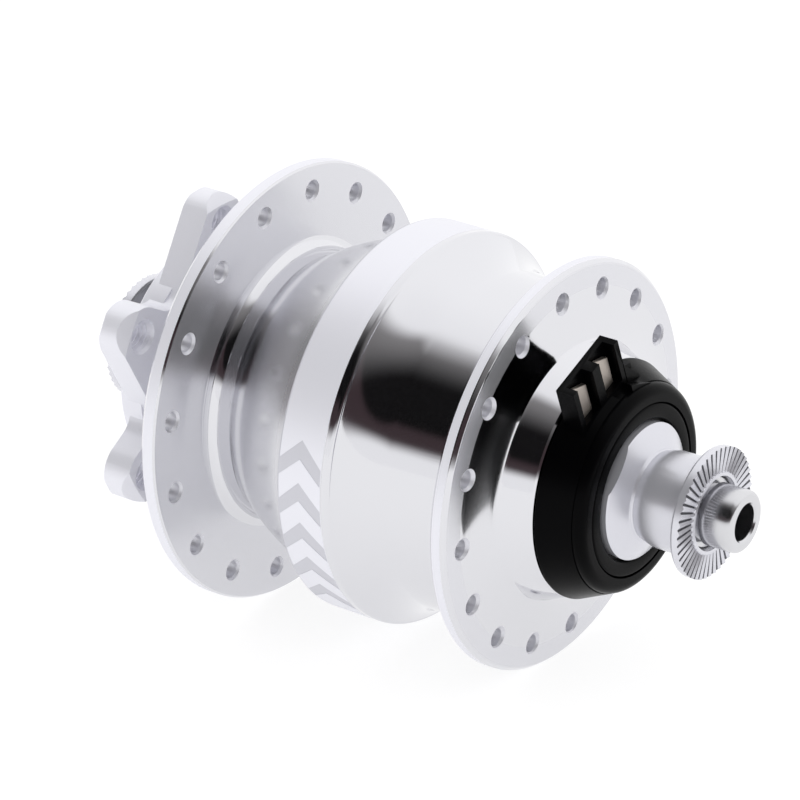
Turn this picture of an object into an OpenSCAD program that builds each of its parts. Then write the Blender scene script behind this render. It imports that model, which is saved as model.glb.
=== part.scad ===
// Front hub dynamo for a spoked wheel with a disc brake.
// The axle lies along Y and the origin is at its centre, midway between the locknut faces.
// +X is the direction of travel, +Z is up and +Y is the side that carries the brake disc.

/* [Axle] */
// Distance between the two locknut faces
over_locknut = 100; // [98:1:110]
// Diameter of the axle ends that sit in the fork
axle_end_d = 9; // [8.6:0.1:9.4]
// Length of each axle end outside its locknut
axle_end_len = 4.8; // [3:0.1:6]
// Depth of the relief between an axle end and its shoulder
axle_relief = 0.4; // [0.3:0.05:0.6]
// Diameter of the axle between the locknuts
axle_d = 10; // [9.8:0.1:10.4]
// Bore for the quick-release skewer
axle_bore_d = 5.3; // [5:0.1:5.8]
// Width of the wire groove along the axle
groove_w = 2.6; // [2.5:0.1:3]
// Diameter of one insulated coil wire
wire_d = 1; // [0.8:0.1:1.1]

/* [Locknuts] */
// Diameter of the toothed face that grips the fork
locknut_d = 19; // [16:0.5:22]
// Thickness of the toothed disc
locknut_t = 1.6; // [1.2:0.1:2.4]
// Diameter of the neck behind the disc
locknut_neck_d = 12.6; // [11.6:0.2:14]
// Number of teeth on the face
locknut_teeth = 48; // [24:4:56]
// Depth of the valleys between the teeth
tooth_depth = 0.35; // [0.2:0.05:0.5]
// Diameter of the chamfer at the mouth of the locknut
locknut_mouth_d = 10.8; // [10.6:0.1:11.4]

/* [Collar] */
// Diameter of the collar that clamps the connector
collar_d = 19.9; // [18:0.1:20.4]
// Distance from the hub centre to the collar's outer edge
collar_edge_y = 38.65; // [38.4:0.05:39.2]
// Distance from the hub centre to the tip of the collar's cone
collar_tip_y = 40.4; // [40:0.1:42]
// Diameter of the tip of the collar's cone
collar_tip_d = 13.4; // [13:0.2:15]
// Distance across the two wrench flats of the collar
collar_flats = 18.5; // [17:0.1:19.5]
// Turn of the wrench flats from +X
flats_turn = 139.4; // [0:0.1:180]

/* [Disc side shell] */
// Diameter of the disc side flange
left_flange_d = 66; // [62:1:72]
// Distance from the hub centre to the inner face of the disc side flange
left_flange_y = 22.3; // [21:0.1:24]
// Diameter of the spoke hole circle of the disc side flange
left_pcd = 58; // [54:0.5:60]
// Turn of the disc side spoke holes from +X
left_hole_turn = -9.57; // [-11:0.01:11]
// Narrowest diameter of the waist, beside the disc side flange
waist_d = 40.6; // [39.6:0.2:42]
// Diameter of the bell-shaped waist where it meets the band
waist_foot_d = 52.4; // [50:0.2:53]
// Diameter of the satin band
band_d = 58.1; // [57:0.1:60]
// Distance from the hub centre to the band's edge on the disc side
band_left_y = 3.7; // [3.4:0.1:6]
// Distance from the hub centre to the seam of the two shells
seam_y = 3.9; // [3:0.1:4.5]
// Thickness of the shell's wall at the waist
waist_wall = 2; // [1.6:0.1:3]
// Diameter of the neck between the flange and the disc mount
neck_d = 33; // [32:0.5:35]

/* [Connector side shell] */
// Diameter of the connector side flange
right_flange_d = 60; // [58:1:66]
// Distance from the hub centre to the outer face of the connector side flange
right_flange_y = 25.3; // [25:0.1:26]
// Diameter of the spoke hole circle of the connector side flange
right_pcd = 52; // [51.5:0.5:56]
// Turn of the connector side spoke holes from +X
right_hole_turn = 4.36; // [0:0.01:22]
// Diameter of the polished drum
drum_d = 50; // [49.6:0.1:51]
// Diameter of the drum where it meets its flange
drum_end_d = 47.8; // [47.6:0.1:48.4]
// Diameter of the boss where it rises from the flange
boss_base_d = 37.2; // [36:0.2:39]
// Diameter of the boss at its end
boss_end_d = 34.8; // [33:0.2:35.6]
// Distance from the hub centre to the end of the boss
boss_end_y = 31.2; // [31:0.05:31.6]
// Distance from the hub centre to the foot of the boss
boss_base_y = 26.94; // [26.4:0.02:28]

/* [Flanges and spoke holes] */
// Thickness of both flanges
flange_t = 2.5; // [2:0.1:3]
// Number of spoke holes in each flange
spoke_holes = 16; // [12:2:18]
// Diameter of a spoke hole
spoke_hole_d = 2.6; // [2.3:0.1:2.8]
// Diameter of the countersink of a spoke hole
countersink_d = 3.3; // [3.1:0.1:3.8]

/* [Direction marks] */
// Number of direction marks engraved in the band
marks = 5; // [1:1:6]
// Turn of the first mark from +X
mark_turn = 163.8; // [150:0.1:170]
// Turn from one mark to the next
mark_step = 12.35; // [11.5:0.1:16]
// Depth of the engraving
mark_depth = 0.12; // [0.08:0.02:0.2]

/* [Disc mount] */
// Distance from the hub centre to the face that carries the brake disc
rotor_face_y = 39.5; // [39:0.1:40]
// Thickness of the six lobes
lobe_t = 4.5; // [4:0.1:5]
// Diameter of the bolt circle
rotor_pcd = 44; // [43:0.5:45]
// Number of bolts
rotor_bolts = 6; // [5:1:6]
// Core diameter of the bolt threads
rotor_bolt_d = 4.3; // [4:0.1:4.6]
// Radius of the rounded end of a lobe
lobe_r = 4.4; // [4.2:0.1:4.8]
// Radius of the round valleys between the lobes
valley_round = 3.5; // [3:0.1:4.2]
// Lean of a lobe's swept side from its radial side
lobe_sweep = 59; // [56:1:62]
// Diameter of the register that centres the brake disc
register_d = 35; // [34.6:0.1:35.4]
// Distance the register stands out of the rotor face
register_len = 1.4; // [1.2:0.1:1.8]
// Distance the end of the shell stands out of the rotor face
shell_end_len = 2.7; // [2.4:0.1:3]
// Wall of the shell's end around the bearing
shell_end_wall = 1.4; // [1.2:0.1:1.8]
// Turn of the first bolt from +X
rotor_turn = 30.2; // [0:0.1:60]

/* [Connector] */
// Diameter of the connector body against the boss
connector_base_d = 34.8; // [33:0.2:35.6]
// Largest diameter of the connector's ring
connector_ring_d = 30.6; // [29:0.2:31]
// Distance from the hub centre to the front of the connector
connector_front_y = 38; // [37.6:0.1:38.4]
// Diameter of the joint between the connector body and its cap ring
cap_ring_d = 25.4; // [24:0.2:26.4]
// Turn of the plug tower from +X
tower_turn = 111.5; // [100:0.5:125]
// Width of the plug tower
tower_w = 11.5; // [11:0.1:13]
// Height of the plug tower above the axle
tower_h = 22.9; // [21.5:0.1:24]
// Distance from the hub centre to the back of the plug tower
tower_back_y = 32.4; // [32:0.1:32.6]
// Depth of the plug tower
tower_depth = 2.9; // [2.6:0.1:3.2]
// Thickness of the tower's back wall and end walls
tower_wall = 1; // [0.8:0.1:1.2]
// Thickness of the wall between the two terminals
divider_w = 1.7; // [1.4:0.1:2]
// Width of a terminal blade
blade_w = 2.6; // [2:0.1:3]
// Thickness of a terminal blade
blade_t = 0.8; // [0.6:0.1:1]
// Distance that a blade's tip lies below the tower's top
blade_drop = 1.2; // [0.8:0.1:2]

/* [Generator] */
// Number of magnets, which is also the number of claw fingers
magnets_n = 28; // [20:4:32]
// Outer diameter of the steel ring that backs the magnets
yoke_d = 45.6; // [45:0.1:45.8]
// Thickness of the steel ring
yoke_t = 1.4; // [1.2:0.1:1.8]
// Thickness of a magnet
magnet_t = 2.1; // [1.8:0.1:2.6]
// Air gap between the magnets and the claws
air_gap = 0.5; // [0.4:0.1:0.8]
// Length of the stator along the axle
stator_len = 18; // [16:0.5:18.4]
// Distance from the hub centre to the stator's end on the connector side
stator_end_y = 20; // [19.6:0.1:20.4]
// Thickness of a claw plate
claw_t = 2; // [1.6:0.1:2.4]
// Diameter of the steel core inside the coil
core_d = 14.6; // [14:0.2:16]
// Outer diameter of the coil winding
winding_d = 31.4; // [28:0.2:32]

/* [Bearings] */
// Bore of the bearings
bearing_bore = 15; // [14.6:0.1:15.4]
// Outer diameter of the bearings
bearing_d = 28; // [27.6:0.1:28.4]
// Width of the bearings
bearing_w = 7; // [6.8:0.1:7.2]
// Diameter of the balls
ball_d = 3.9; // [3.6:0.1:4.1]
// Number of balls in each bearing
balls_n = 12; // [9:1:13]

/* [Clearances] */
// Radial gap between turned pieces that are fitted together
fit_gap = 0.05; // [0.03:0.01:0.08]
// Radial gap between the balls and their tracks
ball_gap = 0.05; // [0.02:0.01:0.08]
// Gap between what turns and what stands still
run_gap = 0.3; // [0.3:0.05:0.4]

/* [Hidden] */
$fn = 96;
past = 1;

aluminium = "#dcdde0";
steel = "#b9bcc2";
dark_steel = "#6f7378";
copper = "#b8713a";
black_plastic = "#1b1c1e";
brass = "#d8cfc4";
magnet_grey = "#5c5f66";
wire_red = "#a02c28";

face_y = over_locknut / 2;
locknut_back_y = face_y - locknut_t;
axle_len = over_locknut + 2 * axle_end_len;
axle_step_y = face_y - locknut_t / 2;
end_chamfer = 0.5;

// Claws, magnets and yoke nest outwards from the yoke's outer diameter
yoke_in_r = yoke_d / 2 - yoke_t;
magnet_in_r = yoke_in_r - fit_gap - magnet_t;
claw_r = magnet_in_r - air_gap;
finger_t = 1.6;
finger_step = 360 / magnets_n;
finger_share = 0.74;
finger_end_gap = 1;
stator_near_y = stator_end_y - stator_len;
winding_end_y = stator_end_y - claw_t;
winding_near_y = stator_near_y + claw_t;
bobbin_wall = 0.9;
bobbin_d = winding_d + bobbin_wall;
magnet_overhang = 1;
magnet_len = stator_len + 2 * magnet_overhang;
magnet_start_y = -stator_end_y - magnet_overhang;
claw_notch = 0.8;

// Bearings: each inner ring sits on a sleeve against its shoulder
cover_room = 1.2;
cover_inset = 0.2;
right_bearing_y = boss_end_y - cover_room - bearing_w;
left_bearing_y = rotor_face_y + shell_end_len - cover_room - bearing_w;
shoulder_d = bearing_bore + 3;
pitch_r = (bearing_bore + bearing_d) / 4;
ring_land = 1.8;
inner_ring_d = bearing_bore + 2 * ring_land;
outer_ring_bore = bearing_d - 2 * ring_land;
cage_t = 1.2;
cage_w = ball_d + cage_t;
seat_lip = 1.4;
seat_lip_d = bearing_d - 2 * seat_lip;

sleeve_bore = axle_d + 2 * fit_gap;
sleeve_stand_out = 2;
left_sleeve_end_y = left_bearing_y + bearing_w + sleeve_stand_out;
connector_back_y = boss_end_y + run_gap;
cover_t = 0.8;
cover_bore = bearing_bore + 2 * cover_t;

// The two shells screw together over a spigot
spigot_wall = 3.6;
spigot_r = yoke_d / 2 + spigot_wall;
spigot_len = 5.6;
yoke_seat_r = yoke_d / 2 + fit_gap;
band_wall = 1.7;
band_r = band_d / 2;
cavity_end_y = stator_end_y + 2;

// Connector
recess_gap = 0.4;
recess_depth = 1.1;
recess_r = collar_d / 2 + recess_gap;
recess_floor_y = connector_front_y - recess_depth;
groove_floor_r = 3.85;
wire_gap = 0.1;
lead_r = groove_floor_r + wire_d / 2 + wire_gap;
lead_side = wire_d / 2 + wire_gap;
lead_turn_y = stator_end_y + 1.2 * wire_d;
lead_coil_r = 10;
lead_out_y = 34.2;
lead_out_r = 6.6;
blade_foot_r = 12;
blade_top_r = tower_h - blade_drop;
tower_front_y = tower_back_y + tower_depth;
slot_w = (tower_w - divider_w - 2 * tower_wall) / 2;
blade_side = (divider_w + slot_w) / 2;
blade_back_y = tower_back_y + tower_wall + fit_gap;
slot_depth = 5.4;
tower_floor_r = blade_top_r - slot_depth;
wire_room = 0.25;

// Local z runs along the axle and local x points out at the given turn
module on_axle(turn = 0, y = 0) {
    translate([0, y, 0]) rotate([-90, 0, 0]) rotate([0, 0, -turn]) children();
}

// A turned piece: each point is a radius and a place along the axle
module turned(points) {
    on_axle() rotate_extrude() polygon(points);
}

module tube(out_d, in_d, y0, y1) {
    turned([[in_d / 2, y0], [out_d / 2, y0], [out_d / 2, y1], [in_d / 2, y1]]);
}

// Points along an arc of the given centre and radius, from one angle to another
function arc(cr, cy, r, from, to, steps) =
    [for (i = [0:steps]) let (a = from + (to - from) * i / steps) [cr + r * cos(a), cy + r * sin(a)]];

// A round rod between two points of the local frame
module rod(a, b, d) {
    v = b - a;
    len = norm(v);
    translate(a) rotate([0, acos(v[2] / len), atan2(v[1], v[0])]) cylinder(d = d, h = len, $fn = 24);
}

module axle() {
    color(steel) difference() {
        turned([
            [axle_bore_d / 2, -axle_len / 2],
            [axle_end_d / 2 - end_chamfer, -axle_len / 2],
            [axle_end_d / 2, -axle_len / 2 + end_chamfer],
            [axle_end_d / 2, -face_y],
            [axle_end_d / 2 - axle_relief, -face_y],
            [axle_end_d / 2 - axle_relief, -axle_step_y], [axle_d / 2, -axle_step_y],
            [axle_d / 2, axle_step_y], [axle_end_d / 2 - axle_relief, axle_step_y],
            [axle_end_d / 2 - axle_relief, face_y], [axle_end_d / 2, face_y],
            [axle_end_d / 2, axle_len / 2 - end_chamfer],
            [axle_end_d / 2 - end_chamfer, axle_len / 2],
            [axle_bore_d / 2, axle_len / 2]
        ]);
        on_axle(tower_turn, -lead_out_y - wire_d)
            translate([groove_floor_r, -groove_w / 2, 0])
                cube([axle_d, groove_w, lead_out_y - lead_turn_y + 2 * wire_d]);
    }
}

// A toothed locknut, drawn for the disc side
module locknut(neck_start_y) {
    neck_r = locknut_neck_d / 2;
    rim = 0.4;
    mouth_depth = 1.2;
    tooth_start = 0.5;
    difference() {
        turned([
            [axle_d / 2 + fit_gap, neck_start_y],
            [neck_r, neck_start_y],
            [neck_r, locknut_back_y],
            [locknut_d / 2 - rim, locknut_back_y],
            [locknut_d / 2, locknut_back_y + rim],
            [locknut_d / 2, face_y],
            [locknut_mouth_d / 2, face_y],
            [locknut_mouth_d / 2 - rim, face_y - mouth_depth],
            [axle_d / 2 + fit_gap, face_y - mouth_depth]
        ]);
        for (i = [0:locknut_teeth - 1])
            on_axle(i * 360 / locknut_teeth, face_y)
                translate([locknut_mouth_d / 2 + tooth_start, 0, 0])
                    rotate([90, 0, 90])
                        linear_extrude(locknut_d / 2)
                            polygon([[-tooth_depth, past / 10], [0, -tooth_depth], [tooth_depth, past / 10]]);
    }
}

module left_locknut() {
    color(aluminium) locknut(left_sleeve_end_y);
}

module right_locknut() {
    color(aluminium) mirror([0, 1, 0]) locknut(collar_tip_y);
}

// The collar has a cone in front and two wrench flats across its edge
module axle_collar() {
    color(aluminium) intersection() {
        turned([
            [axle_d / 2 + fit_gap, -recess_floor_y],
            [collar_d / 2, -recess_floor_y],
            [collar_d / 2, -collar_edge_y],
            [collar_tip_d / 2, -collar_tip_y],
            [axle_d / 2 + fit_gap, -collar_tip_y]
        ]);
        on_axle(flats_turn, -collar_tip_y - past)
            translate([-collar_flats / 2, -collar_d, 0])
                cube([collar_flats, 2 * collar_d, collar_tip_y]);
    }
}

module left_sleeve() {
    color(dark_steel) turned([
        [sleeve_bore / 2, -stator_near_y],
        [shoulder_d / 2, -stator_near_y],
        [shoulder_d / 2, left_bearing_y],
        [bearing_bore / 2 - fit_gap, left_bearing_y],
        [bearing_bore / 2 - fit_gap, left_sleeve_end_y],
        [sleeve_bore / 2, left_sleeve_end_y]
    ]);
}

module right_sleeve() {
    color(dark_steel) difference() {
        turned([
            [sleeve_bore / 2, -stator_end_y],
            [shoulder_d / 2, -stator_end_y],
            [shoulder_d / 2, -right_bearing_y],
            [bearing_bore / 2 - fit_gap, -right_bearing_y],
            [bearing_bore / 2 - fit_gap, -connector_back_y],
            [sleeve_bore / 2, -connector_back_y]
        ]);
        on_axle(tower_turn, -stator_end_y - 2 * wire_d)
            translate([0, -groove_w / 2, 0]) cube([shoulder_d, groove_w, 2 * wire_d + past]);
    }
}

// The path of one wire, from the coil along the axle to a terminal; side is -1 or 1.
// A bead at each bend is a little wider than the wire.
module lead_path(side, d) {
    s = side * lead_side;
    bead_d = d * 1.1;
    bends = [
        [lead_coil_r, s, -winding_end_y - fit_gap],
        [lead_coil_r, s, -lead_turn_y],
        [lead_r, s, -lead_turn_y],
        [lead_r, s, -lead_out_y],
        [lead_out_r, s, -lead_out_y],
        [blade_foot_r, side * blade_side, -lead_out_y]
    ];
    on_axle(tower_turn) {
        for (i = [1:len(bends) - 1]) rod(bends[i - 1], bends[i], d);
        for (i = [1:len(bends) - 2]) translate(bends[i]) sphere(d = bead_d, $fn = 24);
    }
}

module coil_leads() {
    color(wire_red) {
        lead_path(-1, wire_d);
        lead_path(1, wire_d);
    }
}

// A flat terminal blade with a bevelled tip and a foot that is soldered to its wire
module blade(side) {
    bevel = 0.5;
    on_axle(tower_turn, -blade_back_y - blade_t)
        translate([0, side * blade_side - blade_w / 2, 0])
            linear_extrude(blade_t)
                polygon([
                    [blade_foot_r + wire_d / 4, 0], [blade_top_r - bevel, 0], [blade_top_r, bevel],
                    [blade_top_r, blade_w - bevel], [blade_top_r - bevel, blade_w],
                    [blade_foot_r + wire_d / 4, blade_w]
                ]);
}

module terminal_left() {
    color(brass) blade(-1);
}

module terminal_right() {
    color(brass) blade(1);
}

module plug_tower() {
    on_axle(tower_turn, -tower_front_y) {
        translate([blade_foot_r, -tower_w / 2, tower_depth - tower_wall])
            cube([tower_h - blade_foot_r, tower_w, tower_wall]);
        translate([blade_foot_r, -tower_w / 2, 0])
            cube([tower_floor_r - blade_foot_r, tower_w, tower_depth]);
        for (x = [-tower_w / 2, -divider_w / 2, tower_w / 2 - tower_wall])
            translate([blade_foot_r, x, 0])
                cube([tower_h - blade_foot_r, x == -divider_w / 2 ? divider_w : tower_wall, tower_depth]);
    }
}

// A stepped shoulder beside the tower, on the side that faces forwards
module tower_shoulder() {
    shoulder_w = 4.4;
    foot_r = blade_foot_r - 2;
    near_r = blade_foot_r + 5;
    far_r = blade_foot_r + 2.6;
    on_axle(tower_turn, -tower_front_y)
        translate([0, tower_w / 2 - fit_gap, 0])
            linear_extrude(tower_front_y - connector_back_y)
                polygon([
                    [foot_r, 0], [near_r, 0], [far_r, shoulder_w], [foot_r, shoulder_w]
                ]);
}

// The hollow inside the connector where the two wires spread to the blades
module wire_chamber() {
    room = wire_d / 2 + wire_room;
    side = blade_side + room;
    on_axle(tower_turn, -lead_out_y - room)
        translate([0, -side, 0]) cube([blade_foot_r + room, 2 * side, 2 * room]);
}

module connector_body() {
    ring_r = connector_ring_d / 2;
    round_r = 1.6;
    base_edge = 0.7;
    color(black_plastic) difference() {
        union() {
            turned(concat(
                [[sleeve_bore / 2, -connector_back_y], [connector_base_d / 2, -connector_back_y]],
                [[connector_base_d / 2, -connector_back_y - base_edge],
                 [ring_r, -connector_front_y + round_r]],
                arc(ring_r - round_r, -connector_front_y + round_r, round_r, 0, -90, 6),
                [[cap_ring_d / 2, -connector_front_y], [cap_ring_d / 2, -recess_floor_y],
                 [sleeve_bore / 2, -recess_floor_y]]
            ));
            intersection() {
                union() {
                    plug_tower();
                    tower_shoulder();
                }
                tube(2 * tower_h + tower_w, shoulder_d, -connector_front_y, -connector_back_y);
            }
        }
        for (side = [-1, 1])
            on_axle(tower_turn, -blade_back_y - blade_t - fit_gap)
                translate([blade_foot_r, side * blade_side - blade_w / 2 - fit_gap, 0])
                    cube([tower_h, blade_w + 2 * fit_gap, blade_t + 2 * fit_gap]);
        wire_chamber();
    }
}

module connector_ring() {
    chamfer = 0.4;
    color(black_plastic) turned([
        [recess_r, -recess_floor_y],
        [cap_ring_d / 2 - fit_gap, -recess_floor_y],
        [cap_ring_d / 2 - fit_gap, -connector_front_y + chamfer],
        [cap_ring_d / 2 - fit_gap - chamfer, -connector_front_y],
        [recess_r + chamfer, -connector_front_y],
        [recess_r, -connector_front_y + chamfer]
    ]);
}

module stator_core() {
    color(dark_steel) tube(core_d, sleeve_bore, -winding_end_y, -winding_near_y);
}

// An opening for the two wires, cut along the axle at the turn of the tower
module lead_opening(y0, y1) {
    room = wire_d / 2 + wire_room;
    on_axle(tower_turn, y0)
        translate([lead_coil_r - room, -lead_side - room, 0])
            cube([2 * room, 2 * (lead_side + room), y1 - y0]);
}

module coil_bobbin() {
    hub_r = core_d / 2 + fit_gap + bobbin_wall;
    y0 = -winding_end_y + fit_gap;
    y1 = -winding_near_y - fit_gap;
    color(brass) difference() {
        turned([
            [core_d / 2 + fit_gap, y0], [bobbin_d / 2, y0],
            [bobbin_d / 2, y0 + bobbin_wall], [hub_r, y0 + bobbin_wall],
            [hub_r, y1 - bobbin_wall], [bobbin_d / 2, y1 - bobbin_wall],
            [bobbin_d / 2, y1], [core_d / 2 + fit_gap, y1]
        ]);
        lead_opening(y0 - past, y0 + bobbin_wall + past);
    }
}

module coil_winding() {
    hub_d = core_d + 2 * (2 * fit_gap + bobbin_wall);
    color(copper) tube(
        winding_d, hub_d,
        -winding_end_y + bobbin_wall + 2 * fit_gap, -winding_near_y - bobbin_wall - 2 * fit_gap
    );
}

// A steel plate whose fingers reach over the coil, into the notches of the other plate.
// It is drawn with its plate at y = 0.
module claw_plate(turn) {
    finger_end_y = stator_len - finger_end_gap;
    web_r = claw_r - finger_t - claw_notch;
    tube(2 * web_r, sleeve_bore, 0, claw_t);
    intersection() {
        union() {
            tube(2 * claw_r, 2 * (claw_r - finger_t), 0, finger_end_y);
            tube(2 * claw_r, 2 * (web_r - claw_notch), 0, claw_t);
        }
        for (i = [0:2:magnets_n - 1])
            on_axle(turn + i * finger_step, 0)
                linear_extrude(finger_end_y)
                    polygon([
                        [0, 0],
                        [2 * claw_r, -2 * claw_r * tan(finger_step * finger_share / 2)],
                        [2 * claw_r, 2 * claw_r * tan(finger_step * finger_share / 2)]
                    ]);
    }
}

module claw_plate_right() {
    color(dark_steel) difference() {
        translate([0, -stator_end_y, 0]) claw_plate(tower_turn);
        lead_opening(-stator_end_y - past, -stator_end_y + claw_t + past);
    }
}

module claw_plate_left() {
    color(dark_steel) translate([0, -stator_near_y, 0]) mirror([0, 1, 0])
        claw_plate(tower_turn + finger_step);
}

module magnet_yoke() {
    color(dark_steel) tube(
        yoke_d, 2 * yoke_in_r,
        magnet_start_y, magnet_start_y + magnet_len
    );
}

module magnets() {
    split = 0.3;
    color(magnet_grey) difference() {
        tube(2 * (yoke_in_r - fit_gap), 2 * magnet_in_r, magnet_start_y, magnet_start_y + magnet_len);
        for (i = [0:magnets_n - 1])
            on_axle(i * finger_step, magnet_start_y - past)
                translate([0, -split / 2, 0]) cube([yoke_d, split, magnet_len + 2 * past]);
    }
}

// A ball bearing whose near face lies at y; its rings share one round track
module ball_track(y) {
    on_axle(0, y + bearing_w / 2)
        rotate_extrude() translate([pitch_r, 0]) circle(d = ball_d + 2 * ball_gap, $fn = 48);
}

module bearing_inner(y) {
    color(steel) difference() {
        tube(inner_ring_d, bearing_bore, y, y + bearing_w);
        ball_track(y);
    }
}

module bearing_outer(y) {
    color(steel) difference() {
        tube(bearing_d - 2 * fit_gap, outer_ring_bore, y, y + bearing_w);
        ball_track(y);
    }
}

module bearing_balls(y) {
    color(steel) for (i = [0:balls_n - 1])
        on_axle(i * 360 / balls_n, y + bearing_w / 2) translate([pitch_r, 0, 0]) sphere(d = ball_d, $fn = 48);
}

module bearing_cage(y) {
    mid_y = y + bearing_w / 2;
    color(brass) difference() {
        tube(2 * pitch_r + cage_t, 2 * pitch_r - cage_t, mid_y - cage_w / 2, mid_y + cage_w / 2);
        for (i = [0:balls_n - 1])
            on_axle(i * 360 / balls_n, mid_y)
                rotate([0, 90, 0]) cylinder(d = ball_d + 2 * fit_gap, h = bearing_d, $fn = 48);
    }
}

module left_bearing_inner() bearing_inner(left_bearing_y);
module left_bearing_outer() bearing_outer(left_bearing_y);
module left_bearing_balls() bearing_balls(left_bearing_y);
module left_bearing_cage() bearing_cage(left_bearing_y);
module right_bearing_inner() bearing_inner(-right_bearing_y - bearing_w);
module right_bearing_outer() bearing_outer(-right_bearing_y - bearing_w);
module right_bearing_balls() bearing_balls(-right_bearing_y - bearing_w);
module right_bearing_cage() bearing_cage(-right_bearing_y - bearing_w);

// Spoke holes through a flange, countersunk on both faces
module flange_holes(pcd, turn, y0, y1) {
    sink = (countersink_d - spoke_hole_d) / 2;
    for (i = [0:spoke_holes - 1])
        on_axle(turn + i * 360 / spoke_holes, y0) translate([pcd / 2, 0, 0]) {
            translate([0, 0, -past]) cylinder(d = spoke_hole_d, h = y1 - y0 + 2 * past, $fn = 32);
            cylinder(d1 = countersink_d, d2 = spoke_hole_d, h = sink, $fn = 32);
            translate([0, 0, y1 - y0 - sink])
                cylinder(d1 = spoke_hole_d, d2 = countersink_d, h = sink, $fn = 32);
        }
}

// Six lobes, each with one radial and one swept side, joined by valleys tangent to both
module lobes() {
    b = rotor_pcd / 2;
    step = 360 / rotor_bolts;
    swept = b * cos(lobe_sweep) + lobe_r + valley_round;
    radial = lobe_r + valley_round;
    lean = cos(lobe_sweep - step);
    valley = [
        cos(step) * swept + sin(lobe_sweep) * radial,
        sin(step) * swept - cos(lobe_sweep) * radial
    ] / lean;
    valley_at = norm(valley);
    valley_turn = atan2(valley[1], valley[0]);
    outline = [for (i = [0:rotor_bolts - 1]) let (turn = -i * step) each concat(
        arc(b * cos(turn), b * sin(turn), lobe_r, turn + 90, turn - lobe_sweep, 10),
        arc(valley_at * cos(turn - valley_turn), valley_at * sin(turn - valley_turn), valley_round,
            turn - lobe_sweep - 180, turn - step - 90, 6)
    )];
    tip_r = b + lobe_r;
    bevel = 1.5;
    start_y = rotor_face_y - lobe_t;
    intersection() {
        on_axle(rotor_turn, start_y) linear_extrude(lobe_t) polygon(outline);
        turned([
            [neck_d / 2 - past / 2, start_y], [tip_r - bevel, start_y],
            [tip_r, start_y + bevel], [tip_r, rotor_face_y - bevel / 5],
            [tip_r - bevel / 5, rotor_face_y], [neck_d / 2 - past / 2, rotor_face_y]
        ]);
    }
}

module rotor_bolt_holes() {
    sink = 0.5;
    for (i = [0:rotor_bolts - 1])
        on_axle(rotor_turn + i * 360 / rotor_bolts, rotor_face_y - lobe_t)
            translate([rotor_pcd / 2, 0, 0]) {
                translate([0, 0, -past]) cylinder(d = rotor_bolt_d, h = lobe_t + 2 * past, $fn = 48);
                cylinder(d1 = rotor_bolt_d + 2 * sink, d2 = rotor_bolt_d, h = sink, $fn = 48);
                translate([0, 0, lobe_t - sink])
                    cylinder(d1 = rotor_bolt_d, d2 = rotor_bolt_d + 2 * sink, h = sink, $fn = 48);
            }
}

// One engraved direction mark: a chevron across the band whose point leads the rolling wheel
module direction_mark(turn) {
    wide = band_left_y + seam_y;
    arm = 3.2;
    thick = 2.8;
    blunt = 0.3;
    mid = (band_left_y - seam_y) / 2;
    margin = 0.15;
    half = wide / 2 - margin;
    intersection() {
        on_axle(turn, mid) translate([band_r - mark_depth, 0, 0])
            rotate([90, 0, 90]) linear_extrude(past)
                polygon([
                    [0, 0], [-arm - blunt, half], [-arm - thick, half],
                    [-thick, 0],
                    [-arm - thick, -half], [-arm - blunt, -half]
                ]);
        tube(band_d + past, band_d - 2 * mark_depth, -seam_y, band_left_y);
    }
}

module hub_shell() {
    flange_r = left_flange_d / 2;
    back_y = left_flange_y + flange_t;
    waist_r = waist_d / 2;
    inner_r = waist_r - waist_wall;
    fillet = 2.5;
    fillet_foot_y = left_flange_y - fillet;
    foot_r = waist_foot_d / 2;
    // The waist starts almost straight at the band and curves in to the flange
    straight = 0.435;
    bell_steps = 6;
    bell = [for (i = [0:bell_steps]) let (t = i / bell_steps) [
        foot_r - (foot_r - waist_r) * (straight * t + (1 - straight) * t * t),
        band_left_y + (fillet_foot_y - band_left_y) * t
    ]];
    rim_chamfer = 0.5;
    edge = 0.5;
    neck_fillet = 2;
    register_end_y = rotor_face_y + register_len;
    shell_end_y = rotor_face_y + shell_end_len;
    seat_r = bearing_d / 2;
    color(aluminium) difference() {
        union() {
            turned(concat([
                [spigot_r + fit_gap, -seam_y], [band_r, -seam_y],
                [band_r, band_left_y]
            ], bell,
            arc(waist_r + fillet, fillet_foot_y, fillet, 150, 90, 3), [
                [flange_r - rim_chamfer, left_flange_y], [flange_r, left_flange_y + edge],
                [flange_r, back_y - edge], [flange_r - edge, back_y],
                [neck_d / 2 + neck_fillet, back_y], [neck_d / 2, back_y + neck_fillet],
                [neck_d / 2, rotor_face_y], [register_d / 2, rotor_face_y],
                [register_d / 2, register_end_y - edge / 2], [register_d / 2 - edge / 2, register_end_y],
                [seat_r + shell_end_wall, register_end_y], [seat_r + shell_end_wall, shell_end_y],
                [seat_r, shell_end_y], [seat_r, left_bearing_y],
                [seat_lip_d / 2, left_bearing_y], [seat_lip_d / 2, back_y + neck_fillet],
                [inner_r, fillet_foot_y], [foot_r - 2 * waist_wall, band_left_y - band_wall],
                [spigot_r + fit_gap, band_left_y - band_wall]
            ]));
            lobes();
        }
        flange_holes(left_pcd, left_hole_turn, left_flange_y, back_y);
        rotor_bolt_holes();
        for (i = [0:marks - 1]) direction_mark(mark_turn + i * mark_step);
    }
}

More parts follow.
